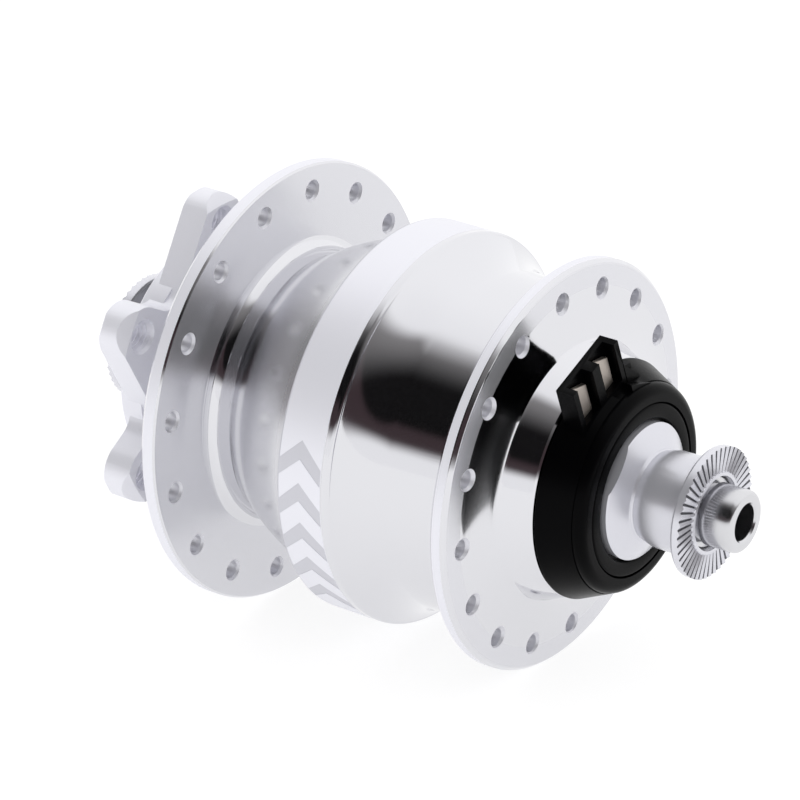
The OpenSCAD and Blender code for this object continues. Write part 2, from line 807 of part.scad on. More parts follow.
module end_shell() {
    flange_r = right_flange_d / 2;
    back_y = right_flange_y - flange_t;
    ring_w = 1.4;
    ring_y = seam_y + ring_w;
    ring_r = band_r - 0.55;
    slope_end_y = 12.5;
    edge = 0.5;
    foot_fillet = 0.15;
    rim_chamfer = 1;
    crease = 0.3;
    rise = ring_r - drum_d / 2;
    run = slope_end_y - ring_y;
    sweep_r = (rise * rise + run * run) / (2 * rise);
    sweep = asin(run / sweep_r);
    seat_r = bearing_d / 2;
    color(aluminium) difference() {
        turned(concat(
            [[yoke_seat_r, spigot_len - seam_y], [spigot_r, spigot_len - seam_y], [spigot_r, -seam_y],
             [band_r, -seam_y], [ring_r, -ring_y]],
            arc(drum_d / 2 + sweep_r, -slope_end_y, sweep_r, 180 - sweep, 180, 8),
            [[drum_end_d / 2, -back_y + edge], [drum_end_d / 2 + foot_fillet, -back_y],
             [flange_r - edge, -back_y], [flange_r, -back_y - edge],
             [flange_r, -right_flange_y + rim_chamfer], [flange_r - edge, -right_flange_y],
             [right_pcd / 2 + crease, -right_flange_y], [boss_base_d / 2 + crease, -boss_base_y],
             [boss_base_d / 2 - crease, -boss_base_y - edge],
             [boss_end_d / 2, -boss_end_y + crease], [boss_end_d / 2 - crease, -boss_end_y],
             [seat_r, -boss_end_y], [seat_r, -right_bearing_y],
             [seat_lip_d / 2, -right_bearing_y], [seat_lip_d / 2, -cavity_end_y],
             [yoke_seat_r, -cavity_end_y]]
        ));
        flange_holes(right_pcd, right_hole_turn, -right_flange_y, -back_y);
    }
}

module left_dust_cover() {
    end_y = rotor_face_y + shell_end_len - cover_inset;
    color(steel) tube(bearing_d - 2 * fit_gap, cover_bore, end_y - cover_t, end_y);
}

module right_seal() {
    start_y = -boss_end_y + cover_inset;
    color(black_plastic) tube(bearing_d - 2 * fit_gap, cover_bore, start_y, start_y + cover_t);
}

axle();
left_locknut();
right_locknut();
axle_collar();
left_sleeve();
right_sleeve();
connector_body();
connector_ring();
terminal_left();
terminal_right();
coil_leads();
stator_core();
coil_bobbin();
coil_winding();
claw_plate_left();
claw_plate_right();
left_bearing_inner();
left_bearing_outer();
left_bearing_balls();
left_bearing_cage();
right_bearing_inner();
right_bearing_outer();
right_bearing_balls();
right_bearing_cage();
hub_shell();
end_shell();
magnet_yoke();
magnets();
left_dust_cover();
right_seal();
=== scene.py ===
# Front bicycle hub dynamo with disc mount, plug connector and toothed locknuts.
# Metres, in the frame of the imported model: +Y along the axle towards the disc side, +Z up.
import math

import bmesh
import bpy
from mathutils import Matrix, Vector


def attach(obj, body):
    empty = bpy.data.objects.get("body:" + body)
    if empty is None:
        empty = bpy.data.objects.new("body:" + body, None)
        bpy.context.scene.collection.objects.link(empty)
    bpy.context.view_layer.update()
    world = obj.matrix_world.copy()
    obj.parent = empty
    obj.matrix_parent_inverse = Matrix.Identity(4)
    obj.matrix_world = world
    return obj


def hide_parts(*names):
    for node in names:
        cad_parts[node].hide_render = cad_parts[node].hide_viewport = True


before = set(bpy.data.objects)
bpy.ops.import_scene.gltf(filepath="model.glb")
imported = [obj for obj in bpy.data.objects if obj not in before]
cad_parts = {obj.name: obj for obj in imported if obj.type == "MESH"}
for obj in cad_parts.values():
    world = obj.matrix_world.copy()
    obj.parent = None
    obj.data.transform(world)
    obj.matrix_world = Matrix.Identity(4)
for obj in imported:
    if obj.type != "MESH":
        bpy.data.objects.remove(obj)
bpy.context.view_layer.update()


# ---- Camera -----------------------------------------------------------------------------
# A long lens close above the connector end, as in the product photograph.
# The hub lies on its two flanges, so its axle runs down to the right.
camera_data = bpy.data.cameras.new("camera")
camera_data.lens = 192.0
camera_data.sensor_width = 36.0
camera_data.clip_start = 0.01
camera = bpy.data.objects.new("camera", camera_data)
camera.location = (-0.44861, -0.31745, 0.26963)
camera.rotation_euler = [math.radians(a) for a in (64.139, 0.0, -54.434)]
bpy.context.scene.collection.objects.link(camera)
bpy.context.scene.camera = camera


# ---- Disc side shell --------------------------------------------------------------------
# One forged and turned aluminium body: spoke flange, narrow waist, satin band, neck and the
# six-lobed mount for the brake disc, all clear anodised. The spoke holes and the threads are
# cut through it.
MM = 0.001
ROUND = 256


def turned(name, profile, segments=ROUND):
    """A turned ring: profile is a closed loop of (radius, place along the axle) in mm."""
    mesh = bmesh.new()
    rings = []
    for k in range(segments):
        a = 2 * math.pi * k / segments
        rings.append(
            [
                mesh.verts.new((r * math.cos(a) * MM, y * MM, r * math.sin(a) * MM))
                for r, y in profile
            ]
        )
    for k in range(segments):
        here, there = rings[k], rings[(k + 1) % segments]
        for i in range(len(profile)):
            j = (i + 1) % len(profile)
            mesh.faces.new((here[i], here[j], there[j], there[i]))
    return finished(name, mesh)


def finished(name, mesh):
    """Turns a bmesh into an object in the scene, with its faces pointing outwards."""
    bmesh.ops.recalc_face_normals(mesh, faces=mesh.faces)
    data = bpy.data.meshes.new(name)
    mesh.to_mesh(data)
    mesh.free()
    piece = bpy.data.objects.new(name, data)
    bpy.context.scene.collection.objects.link(piece)
    return piece


def curve(cr, cy, r, start, end, steps=8):
    """Points on an arc of the profile, for fillets and rounded edges; angles in degrees."""
    turns = [math.radians(start + (end - start) * i / steps) for i in range(steps + 1)]
    return [(cr + r * math.cos(a), cy + r * math.sin(a)) for a in turns]


def baked(piece):
    """Applies the piece's modifiers."""
    bpy.context.view_layer.update()
    shaped = piece.evaluated_get(bpy.context.evaluated_depsgraph_get())
    old = piece.data
    piece.data = bpy.data.meshes.new_from_object(shaped)
    piece.modifiers.clear()
    bpy.data.meshes.remove(old)


def combined(piece, other, how):
    """Cuts with, adds or keeps the overlap with another mesh, which is then removed."""
    step = piece.modifiers.new("combine", "BOOLEAN")
    step.operation = how
    step.solver = "EXACT"
    step.object = other
    baked(piece)
    bpy.data.objects.remove(other)


def shaded(piece, sharp=28):
    """Smooth shading that keeps flat faces flat and corners crisp."""
    piece.data.shade_smooth()
    piece.data.set_sharp_from_angle(angle=math.radians(sharp))
    weighted = piece.modifiers.new("weighted", "WEIGHTED_NORMAL")
    weighted.keep_sharp = True
    weighted.weight = 80
    baked(piece)


def srgb(code):
    """Linear colour of an sRGB hex value."""
    parts = [int(code[i : i + 2], 16) / 255 for i in (1, 3, 5)]
    return [c / 12.92 if c <= 0.04045 else ((c + 0.055) / 1.055) ** 2.4 for c in parts] + [1.0]


def add(owner, kind, inputs=None, **settings):
    """Adds one node with its settings, values and links."""
    node = owner.node_tree.nodes.new(kind)
    for name, value in settings.items():
        setattr(node, name, value)
    for name, value in (inputs or {}).items():
        if isinstance(value, bpy.types.NodeSocket):
            owner.node_tree.links.new(value, node.inputs[name])
        else:
            node.inputs[name].default_value = value
    return node


def material(name, colour, metallic, roughness, **sockets):
    """A new material with its plain values on the shader's own sockets."""
    made = bpy.data.materials.new(name)
    made.use_nodes = True
    made.node_tree.nodes.clear()
    shader = add(
        made,
        "ShaderNodeBsdfPrincipled",
        {"Base Color": srgb(colour), "Metallic": metallic, "Roughness": roughness, **sockets},
    )
    add(made, "ShaderNodeOutputMaterial", {"Surface": shader.outputs["BSDF"]})
    return made, shader


def lathe_marks(made, shader, lines_per_mm, depth_mm, waviness_mm=0.0):
    """Fine rings left by the cutting tool, around the axle, and the slow waves of a mop."""
    place = add(made, "ShaderNodeTexCoord").outputs["Object"]
    apart = add(made, "ShaderNodeSeparateXYZ", {0: place})
    flat = add(made, "ShaderNodeCombineXYZ", {0: apart.outputs[0], 1: apart.outputs[2]})
    radius = add(made, "ShaderNodeVectorMath", {0: flat.outputs[0]}, operation="LENGTH")
    along = add(
        made, "ShaderNodeCombineXYZ", {0: radius.outputs["Value"], 1: apart.outputs[1]}
    )
    rings = add(
        made,
        "ShaderNodeTexNoise",
        {"Vector": along.outputs[0], "Scale": lines_per_mm / MM, "Detail": 2.0},
        noise_dimensions="2D",
    )
    bump = add(
        made,
        "ShaderNodeBump",
        {"Height": rings.outputs[0], "Distance": depth_mm * MM, "Strength": 1.0},
    )
    if waviness_mm:
        waves = add(
            made, "ShaderNodeTexNoise", {"Vector": place, "Scale": 0.09 / MM, "Detail": 1.0}
        )
        bump = add(
            made,
            "ShaderNodeBump",
            {
                "Height": waves.outputs[0],
                "Distance": waviness_mm * MM,
                "Strength": 1.0,
                "Normal": bump.outputs["Normal"],
            },
        )
    made.node_tree.links.new(bump.outputs["Normal"], shader.inputs["Normal"])


def grained(made, shader, scale, depth_mm, detail=2.0):
    """A fine grain. Its scale counts along the piece's own box, so it is finer than a pixel
    and shows as a softer gloss and not as single grains."""
    grain = add(made, "ShaderNodeTexNoise", {"Scale": scale, "Detail": detail})
    bump = add(
        made, "ShaderNodeBump", {"Height": grain.outputs[0], "Distance": depth_mm * MM}
    )
    made.node_tree.links.new(bump.outputs["Normal"], shader.inputs["Normal"])


# Polished aluminium under clear anodising: bright, nearly mirror-like
polished, shader = material("polished_anodised_aluminium", "#DCDCE0", 1.0, 0.09)
lathe_marks(polished, shader, 5.0, 0.0006, 0.02)

# The faces of the flanges are only buffed, so their reflections are softer
buffed, shader = material("buffed_anodised_aluminium", "#DDDDE2", 0.8, 0.25)
lathe_marks(buffed, shader, 6.0, 0.001, 0.03)

# The mop reaches less of the waist towards the band, where it turns from mirror to haze
waist_finish, shader = material("waist_anodised_aluminium", "#DEDEE2", 1.0, 0.2)
lathe_marks(waist_finish, shader, 6.0, 0.001, 0.03)
place = add(waist_finish, "ShaderNodeTexCoord").outputs["Object"]
apart = add(waist_finish, "ShaderNodeSeparateXYZ", {0: place})
reach = {"Value": apart.outputs[1], "From Min": 6 * MM, "From Max": 15 * MM}
for socket, low, high in (("Metallic", 0.72, 1.0), ("Roughness", 0.28, 0.16)):
    share = add(waist_finish, "ShaderNodeMapRange", {**reach, "To Min": low, "To Max": high})
    waist_finish.node_tree.links.new(share.outputs[0], shader.inputs[socket])

# Band, rims and disc mount are blasted before anodising: their oxide layer spreads the light
satin, shader = material("satin_anodised_aluminium", "#EFEFF6", 0.3, 0.42)
lathe_marks(satin, shader, 7.0, 0.0012)

# The walls of the spoke holes keep the drill's rougher finish
drilled_wall, shader = material("drilled_aluminium", "#DCDCE2", 0.55, 0.38)
grained(drilled_wall, shader, 4000, 0.01)

# The direction marks are etched into the band: greyer and rougher than what surrounds them
etched, shader = material("etched_direction_mark", "#D4D4DB", 0.25, 0.55)
grained(etched, shader, 6000, 0.004)

BAND_R, BAND_LEFT, SEAM = 29.05, 3.7, -3.9
WAIST_R, WAIST_FOOT_R, NECK_R, REGISTER_R = 20.3, 26.2, 16.5, 17.5
LEFT_FLANGE_R, LEFT_FACE, LEFT_BACK = 33.0, 22.3, 24.8
ROTOR_FACE, LOBE_FRONT = 39.5, 35.0

# Sizes in millimetres: radii, and places along the axle from the middle of the hub.
# The waist is bell-shaped: it leaves the band almost straight and curves in to the flange
bell_end = LEFT_FACE - 3.9
bell = []
for i in range(19):
    t = i / 18
    drop = (WAIST_FOOT_R - WAIST_R) * (0.435 * t + 0.565 * t * t)
    bell.append((WAIST_FOOT_R - drop, BAND_LEFT + (bell_end - BAND_LEFT) * t))
left_shell = turned(
    "disc_side_shell",
    [(26.45, SEAM), (BAND_R - 0.08, SEAM), (BAND_R, SEAM + 0.08)]
    + curve(BAND_R - 0.4, BAND_LEFT - 0.4, 0.4, 0, 90, 5)
    + bell
    + curve(WAIST_R + 0.35, bell_end + 0.55, 0.5, 215, 165, 6)
    + curve(WAIST_R + 1.8, LEFT_FACE - 1.9, 1.9, 176, 90, 18)
    + [(LEFT_FLANGE_R - 0.4, LEFT_FACE), (LEFT_FLANGE_R - 0.3, LEFT_FACE + 0.02)]
    + [(LEFT_FLANGE_R - 0.03, LEFT_FACE + 0.29), (LEFT_FLANGE_R, LEFT_FACE + 0.38)]
    + [(LEFT_FLANGE_R, LEFT_BACK - 0.5), (LEFT_FLANGE_R - 0.5, LEFT_BACK)]
    + curve(NECK_R + 2.0, LEFT_BACK + 2.0, 2.0, 270, 180, 10)
    + [(NECK_R, 37.0), (REGISTER_R, 37.0), (REGISTER_R, 40.6), (REGISTER_R - 0.3, 40.9)]
    + [(15.4, 40.9), (15.4, 42.0), (15.2, 42.2), (14.0, 42.2), (14.0, 34.0), (12.6, 34.0)]
    + [(12.6, 26.8), (18.3, 19.8), (22.2, 2.0), (26.45, 2.0)],
)

# Five shallow chevrons across the band point the way that the wheel rolls
mark_depth, arm, thick, blunt = 0.05, 3.2, 2.8, 0.3
first_mark, mark_step = 163.8, 12.35
mid = (BAND_LEFT + SEAM) / 2
mark_half = (BAND_LEFT - SEAM) / 2 - 0.15
mesh = bmesh.new()
for i in range(5):
    turn = first_mark + mark_step * i
    grid = {}
    for s in range(-6, 7):
        for t in range(6):
            share = abs(s) / 6
            front, back = share * (arm + blunt), thick + share * arm
            a = math.radians(turn) + (front + (back - front) * t / 5) / BAND_R
            for layer, r in enumerate((BAND_R - mark_depth, BAND_R + 0.6)):
                y = mid + s / 6 * mark_half
                grid[s, t, layer] = mesh.verts.new(
                    (r * math.cos(a) * MM, y * MM, r * math.sin(a) * MM)
                )
    for layer in (0, 1):
        for s in range(-6, 6):
            for t in range(5):
                mesh.faces.new(
                    [grid[s + u, t + v, layer] for u, v in ((0, 0), (1, 0), (1, 1), (0, 1))]
                )
    edge = [(s, 0) for s in range(-6, 6)] + [(6, t) for t in range(5)]
    edge += [(s, 5) for s in range(6, -6, -1)] + [(-6, t) for t in range(5, 0, -1)]
    for one, two in zip(edge, edge[1:] + edge[:1]):
        mesh.faces.new((grid[*one, 0], grid[*two, 0], grid[*two, 1], grid[*one, 1]))
bmesh.ops.triangulate(mesh, faces=mesh.faces)
combined(left_shell, finished("marks", mesh), "DIFFERENCE")

# The disc mount: six round lobes, each with one radial and one swept side, and a bolt hole
BOLT_R, LOBE_R, VALLEY_ROUND, SWEEP, BOLT_TURN = 22.0, 4.4, 3.5, 59, 30.2
swept = BOLT_R * math.cos(math.radians(SWEEP)) + LOBE_R + VALLEY_ROUND
radial = LOBE_R + VALLEY_ROUND
lean = math.cos(math.radians(SWEEP - 60))
valley_x = (0.5 * swept + math.sin(math.radians(SWEEP)) * radial) / lean
valley_z = (math.sqrt(0.75) * swept - math.cos(math.radians(SWEEP)) * radial) / lean
outline = []
for i in range(6):
    turn = BOLT_TURN + 60 * i
    a = math.radians(turn)
    outline += curve(
        BOLT_R * math.cos(a), BOLT_R * math.sin(a), LOBE_R, turn - 90, turn + SWEEP, 20
    )
    outline += curve(
        valley_x * math.cos(a) - valley_z * math.sin(a),
        valley_x * math.sin(a) + valley_z * math.cos(a),
        VALLEY_ROUND, turn + SWEEP + 180, turn + 150, 10,
    )
mesh = bmesh.new()
near = [mesh.verts.new((x * MM, LOBE_FRONT * MM, z * MM)) for x, z in outline]
far = [mesh.verts.new((x * MM, ROTOR_FACE * MM, z * MM)) for x, z in outline]
mesh.faces.new(near)
mesh.faces.new(far)
for i in range(len(near)):
    j = (i + 1) % len(near)
    mesh.faces.new((near[i], near[j], far[j], far[i]))
lobes = finished("lobes", mesh)
chamfer = turned(
    "chamfer",
    [(15.6, LOBE_FRONT), (24.9, LOBE_FRONT)]
    + [(BOLT_R + LOBE_R, LOBE_FRONT + 1.5), (BOLT_R + LOBE_R, ROTOR_FACE - 0.3)]
    + [(BOLT_R + LOBE_R - 0.3, ROTOR_FACE), (15.6, ROTOR_FACE)],
)
combined(lobes, chamfer, "INTERSECT")
combined(left_shell, lobes, "UNION")


def drilled(profile, turns, circle_r, segments=40, pitch=0.0, ridge=0.0):
    """Cutters for a ring of holes: profile is (radius, place); a pitch turns it into a thread."""
    mesh = bmesh.new()
    for turn in turns:
        a = math.radians(turn)
        rows = []
        for r, y in profile:
            row = []
            for k in range(segments):
                b = 2 * math.pi * k / segments
                step = 0.0
                if pitch and ridge and LOBE_FRONT + 0.4 < y < ROTOR_FACE - 0.4:
                    phase = (y / pitch + k / segments) % 1.0
                    step = ridge * (1 - abs(2 * phase - 1))
                x = circle_r * math.cos(a) + (r + step) * math.cos(b)
                z = circle_r * math.sin(a) + (r + step) * math.sin(b)
                row.append(mesh.verts.new((x * MM, y * MM, z * MM)))
            rows.append(row)
        mesh.faces.new(rows[0])
        mesh.faces.new(rows[-1])
        for low, high in zip(rows, rows[1:]):
            for k in range(segments):
                j = (k + 1) % segments
                mesh.faces.new((low[k], low[j], high[j], high[k]))
    bmesh.ops.triangulate(mesh, faces=mesh.faces)
    return finished("drill", mesh)


def spoke_drill(y0, y1):
    """The 2.6 mm spoke hole with its countersinks, from one flange face to the other."""
    r, sink, deep = 1.3, 0.34, 0.34
    return [
        (r + sink + 1, y0 - 1), (r + sink, y0), (r, y0 + deep),
        (r, y1 - deep), (r + sink, y1), (r + sink + 1, y1 + 1),
    ]


# Sixteen spoke holes on a 58 mm circle
SPOKES, left_holes_r = 16, 29.0
left_turns = [-9.57 + 360 / SPOKES * i for i in range(SPOKES)]
cutters = drilled(spoke_drill(LEFT_FACE, LEFT_BACK), left_turns, left_holes_r)
combined(left_shell, cutters, "DIFFERENCE")

# M5 x 0.8 threads with a countersink at each end
thread = [(3.65, LOBE_FRONT - 1), (2.65, LOBE_FRONT), (2.15, LOBE_FRONT + 0.5)]
thread += [(2.15, LOBE_FRONT + 0.5 + 0.1 * i) for i in range(1, 36)]
thread += [(2.65, ROTOR_FACE), (3.65, ROTOR_FACE + 1)]
bolt_turns = [BOLT_TURN + 60 * i for i in range(6)]
combined(
    left_shell, drilled(thread, bolt_turns, BOLT_R, 32, pitch=0.8, ridge=0.34), "DIFFERENCE"
)

for made in (polished, satin, etched, drilled_wall, buffed, waist_finish):
    left_shell.data.materials.append(made)
for face in left_shell.data.polygons:
    x, y, z = face.center / MM
    r = math.hypot(x, z)
    face.material_index = 1 if y > LEFT_BACK + 0.1 or r > LEFT_FLANGE_R - 0.02 else 0
    if abs(y - LEFT_FACE) < 0.01:
        face.material_index = 4
    elif BAND_LEFT < y < bell_end and r > WAIST_R - 0.1:
        face.material_index = 5
    if SEAM + 0.1 < y < BAND_LEFT - 0.05 and r > BAND_R - 0.3:
        face.material_index = 1 if r > BAND_R - 0.01 else 2
    elif LEFT_FACE + 0.02 < y < LEFT_BACK - 0.02 and 27 < r < 31:
        face.material_index = 3
shaded(left_shell, 20)
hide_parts("hub_shell")
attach(left_shell, "rotating_shell")


# ---- Connector side shell ---------------------------------------------------------------
# The cover that screws into the band and closes the generator: a polished drum with a swept
# shoulder, the second spoke flange and the boss behind the connector. Same alloy and finish.
RIGHT_FLANGE_R, RIGHT_FACE, RIGHT_BACK, DISH = 30.0, -25.3, -22.8, 0.25
# Inside its flat outer ring the face of the flange is a shallow bowl
bowl_r, bowl_rate, bowl_start = 26.8, 0.02, 0.49
dish_radii = [26.1 - 0.55 * i for i in range(13)]
ring_r, ring_y, slope_end = BAND_R - 0.55, SEAM - 1.4, -12.5
rise, run = ring_r - 25.0, ring_y - slope_end
sweep_r = (rise**2 + run**2) / (2 * rise)
sweep = math.degrees(math.asin(run / sweep_r))
right_shell = turned(
    "connector_side_shell",
    [(22.85, 1.7), (26.4, 1.7), (26.4, SEAM)]
    + [(BAND_R - 0.08, SEAM), (BAND_R, SEAM - 0.08)]
    + curve(BAND_R - 0.6, SEAM - 0.75, 0.6, 360, 290, 8)
    + curve(25.0 + sweep_r, slope_end, sweep_r, 180 - sweep, 180, 12)
    + [(23.95, RIGHT_BACK + 0.35)]
    + curve(24.2, RIGHT_BACK + 0.3, 0.3, 180, 270, 4)
    + [(RIGHT_FLANGE_R - 0.5, RIGHT_BACK), (RIGHT_FLANGE_R, RIGHT_BACK - 0.5)]
    + [(RIGHT_FLANGE_R, RIGHT_FACE + 0.65), (RIGHT_FLANGE_R - 0.05, RIGHT_FACE + 0.5)]
    + [(RIGHT_FLANGE_R - 0.5, RIGHT_FACE + 0.05), (RIGHT_FLANGE_R - 0.7, RIGHT_FACE)]
    + [(26.3, RIGHT_FACE - DISH + 0.02)]
    + [
        (r, RIGHT_FACE - DISH - bowl_rate * ((bowl_r - r) ** 2 - bowl_start))
        for r in dish_radii
    ]
    + [(19.15, RIGHT_FACE - 1.45), (18.9, RIGHT_FACE - 1.8)]
    + [(17.4, -30.95), (17.15, -31.2)]
    + [(14.0, -31.2), (14.0, -23.0), (12.6, -23.0), (12.6, -22.0), (22.85, -22.0)],
)
right_holes_r = 26.0
right_turns = [4.36 + 360 / SPOKES * i for i in range(SPOKES)]
cutters = drilled(spoke_drill(RIGHT_FACE - DISH, RIGHT_BACK), right_turns, right_holes_r)
combined(right_shell, cutters, "DIFFERENCE")
for made in (polished, buffed, satin, drilled_wall):
    right_shell.data.materials.append(made)
for face in right_shell.data.polygons:
    x, y, z = face.center / MM
    r = math.hypot(x, z)
    # the outer ring of the flange's face and its edge are duller than the rest
    face.material_index = 1 if RIGHT_FACE - DISH < y < RIGHT_FACE + 0.01 and r > 26.3 else 0
    if y < RIGHT_BACK - 0.02 and 24.2 < r < 27.8 and abs(face.normal.y) < 0.9:
        face.material_index = 3
    elif RIGHT_FACE + 0.6 < y < RIGHT_BACK - 0.02 and r > RIGHT_FLANGE_R - 0.02:
        face.material_index = 2
shaded(right_shell, 20)
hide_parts("end_shell")
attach(right_shell, "rotating_shell")


# ---- Axle, locknuts and collar ----------------------------------------------------------
# A bored steel axle with 9 mm ends; turned aluminium locknuts whose toothed faces bite into
# the fork; and a collar with two wrench flats that clamps the connector. All bright turned.
axle_steel, shader = material("turned_bright_steel", "#D3D3D6", 1.0, 0.2)
lathe_marks(axle_steel, shader, 4.0, 0.0015)

turned_alloy, shader = material("fine_turned_aluminium", "#DEDEE5", 0.6, 0.27)
lathe_marks(turned_alloy, shader, 5.0, 0.0014)

# The valleys between the teeth get painted shade: a darker colour than the crests, with a duller,
# rougher finish
valley_painted_shade, shader = material("tooth_valley_painted_shade", "#606065", 1.0, 0.45)
grained(valley_painted_shade, shader, 8000, 0.005)

axle = turned(
    "axle",
    [(2.9, -54.8), (3.75, -54.8)]
    + curve(3.75, -54.05, 0.75, 270, 360, 8)
    + [(4.5, -50.0), (4.1, -49.9), (4.1, -49.2), (5.0, -49.2)]
    + [(5.0, 49.2), (4.1, 49.2), (4.1, 49.9), (4.5, 50.0)]
    + curve(3.75, 54.05, 0.75, 0, 90, 8)
    + [(2.9, 54.8), (2.65, 54.5), (2.65, -54.5)],
    128,
)
axle.data.materials.append(axle_steel)
shaded(axle)
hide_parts("axle")
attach(axle, "axle_assembly")


def locknut(name, side, neck):
    """A locknut: neck, disc and a face of radial V teeth; side is -1 on the connector side."""
    teeth, per_tooth, depth = 48, 6, 0.35
    mesh = bmesh.new()
    profile = [(5.05, 48.8), (5.05, neck[0][1])] + neck + [
        (neck[-1][0] + 0.2, 48.35), (9.1, 48.4), (9.4, 48.55), (9.5, 48.8), (9.5, 50.0),
        (8.2, 50.0), (7.0, 50.0), (6.0, 50.0), (5.9, 50.0), (5.4, 50.0),
    ]
    rim = len(profile) - 6
    rings = []
    for k in range(teeth * per_tooth):
        a = 2 * math.pi * k / (teeth * per_tooth)
        dip = depth * abs(2 * (k % per_tooth) / per_tooth - 1)
        ring = []
        for i, (r, y) in enumerate(profile):
            y -= dip if rim <= i < rim + 4 else 0.0
            ring.append(mesh.verts.new((r * math.cos(a) * MM, side * y * MM, r * math.sin(a) * MM)))
        rings.append(ring)
    for k, here in enumerate(rings):
        there = rings[(k + 1) % len(rings)]
        for i in range(len(profile)):
            j = (i + 1) % len(profile)
            face = mesh.faces.new((here[i], here[j], there[j], there[i]))
            # the two faces beside each valley take the dark painted shade of the grooves
            if rim <= i < rim + 3 and k % per_tooth in (0, per_tooth - 1):
                face.material_index = 1
    nut = finished(name, mesh)
    nut.data.materials.append(turned_alloy)
    nut.data.materials.append(valley_painted_shade)
    shaded(nut, 20)
    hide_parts(name)
    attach(nut, "axle_assembly")


# The neck widens a little from the collar to the disc, as the photograph shows
locknut("right_locknut", -1, [(6.7, 40.4), (6.5, 40.6), (7.0, 42.6), (7.1, 48.15)])
locknut("left_locknut", 1, [(6.3, 43.0), (6.3, 48.15)])

collar = turned(
    "axle_collar",
    [(5.05, -36.9), (9.95, -36.9), (9.95, -38.45), (9.75, -38.65)]
    + [(6.95, -40.2), (6.75, -40.4), (5.05, -40.4)],
)
mesh = bmesh.new()
for side in (-1, 1):
    block = bmesh.ops.create_cube(mesh, size=1.0)["verts"]
    bmesh.ops.scale(mesh, vec=(4 * MM, 10 * MM, 30 * MM), verts=block)
    bmesh.ops.translate(mesh, vec=(side * (18.5 / 2 + 2) * MM, -38 * MM, 0), verts=block)
bmesh.ops.rotate(
    mesh, cent=(0, 0, 0), matrix=Matrix.Rotation(math.radians(-139.4), 3, "Y"), verts=mesh.verts
)
combined(collar, finished("flats", mesh), "DIFFERENCE")
collar.data.materials.append(turned_alloy)
shaded(collar)
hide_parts("axle_collar")
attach(collar, "axle_assembly")


# ---- Connector --------------------------------------------------------------------------
# A moulded black housing on the boss, with a cap ring pressed into its front and a tower
# that carries the two plug terminals. Glass-filled nylon: black, with a soft sheen.
nylon, shader = material(
    "moulded_black_nylon", "#030304", 0.0, 0.27, **{"Specular IOR Level": 0.04}
)
grained(nylon, shader, 3000, 0.004, 3.0)

housing = turned(
    "connector_body",
    [(5.05, -31.5), (17.2, -31.5), (17.4, -31.7), (17.4, -32.1), (15.45, -36.4)]
    + curve(13.7, -36.4, 1.6, 0, -90, 10)
    + [(12.75, -38.0), (12.75, -37.3), (12.7, -36.9), (5.05, -36.9)],
)
TOWER_TURN, TOWER_BACK, TOWER_FRONT, TOWER_TOP = 111.5, -32.4, -35.3, 22.9
TOWER_W, TOWER_WALL, DIVIDER, TOWER_FLOOR, TOWER_ROOT = 11.5, 1.0, 1.7, 16.3, 11.0


def beside_tower(points, top, bottom, name):
    """A block on the tower's turn: points are (side, place along the axle), from bottom up."""
    mesh = bmesh.new()
    a = math.radians(TOWER_TURN)
    out, side = Vector((math.cos(a), 0, math.sin(a))), Vector((math.sin(a), 0, -math.cos(a)))
    loops = []
    for height in (bottom, top):
        loop = []
        for u, y in points:
            h = height(u) if callable(height) else height
            loop.append(mesh.verts.new((out * h + side * u) * MM + Vector((0, y * MM, 0))))
        loops.append(loop)
    mesh.faces.new(loops[0])
    mesh.faces.new(loops[1])
    for i in range(len(points)):
        j = (i + 1) % len(points)
        mesh.faces.new((loops[0][i], loops[0][j], loops[1][j], loops[1][i]))
    return finished(name, mesh)


w, d = TOWER_W / 2, DIVIDER / 2
wall_y = TOWER_BACK - TOWER_WALL
comb = [
    (-w, TOWER_BACK), (w, TOWER_BACK), (w, TOWER_FRONT), (w - TOWER_WALL, TOWER_FRONT),
    (w - TOWER_WALL, wall_y), (d, wall_y), (d, TOWER_FRONT), (-d, TOWER_FRONT),
    (-d, wall_y), (-w + TOWER_WALL, wall_y), (-w + TOWER_WALL, TOWER_FRONT), (-w, TOWER_FRONT),
]
tower = beside_tower(comb, TOWER_TOP, TOWER_ROOT, "tower")
base = [(-w, TOWER_BACK), (w, TOWER_BACK), (w, TOWER_FRONT), (-w, TOWER_FRONT)]
combined(tower, beside_tower(base, TOWER_FLOOR, TOWER_ROOT, "tower_base"), "UNION")
shoulder = [(w - 0.2, -31.5), (w + 3.4, -31.5), (w + 3.4, -33.6), (w - 0.2, -33.6)]
slope = lambda u: 16.6 - (u - w) * 0.5
combined(tower, beside_tower(shoulder, slope, TOWER_ROOT, "shoulder"), "UNION")
# A gusset props the tower's side: a steep web on a longer and lower foot
web = [(w - 0.2, -31.5), (w + 2.7, -31.5), (w + 2.7, TOWER_FRONT), (w - 0.2, TOWER_FRONT)]
slope = lambda u: 18.2 - (u - w) * 1.55
combined(tower, beside_tower(web, slope, TOWER_ROOT, "web"), "UNION")
foot = [(w - 1.2, -31.5), (w + 2.8, -31.5), (w + 2.8, -36.8), (w - 1.2, -36.8)]
slope = lambda u: 15.9 - (u - w + 1.2) * 0.78
combined(tower, beside_tower(foot, slope, TOWER_ROOT, "foot"), "UNION")
combined(housing, tower, "UNION")
rim = housing.modifiers.new("rim", "BEVEL")
rim.width, rim.segments, rim.angle_limit = 0.12 * MM, 2, math.radians(35)
baked(housing)
housing.data.materials.append(nylon)
shaded(housing)
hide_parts("connector_body")
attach(housing, "axle_assembly")

cap_ring = turned(
    "connector_ring",
    [(10.35, -36.9), (12.6, -36.9), (12.6, -37.6)]
    + curve(12.2, -37.6, 0.4, 0, -90, 4)
    + curve(10.75, -37.6, 0.4, 270, 180, 4),
)
cap_ring.data.materials.append(nylon)
shaded(cap_ring)
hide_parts("connector_ring")
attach(cap_ring, "axle_assembly")


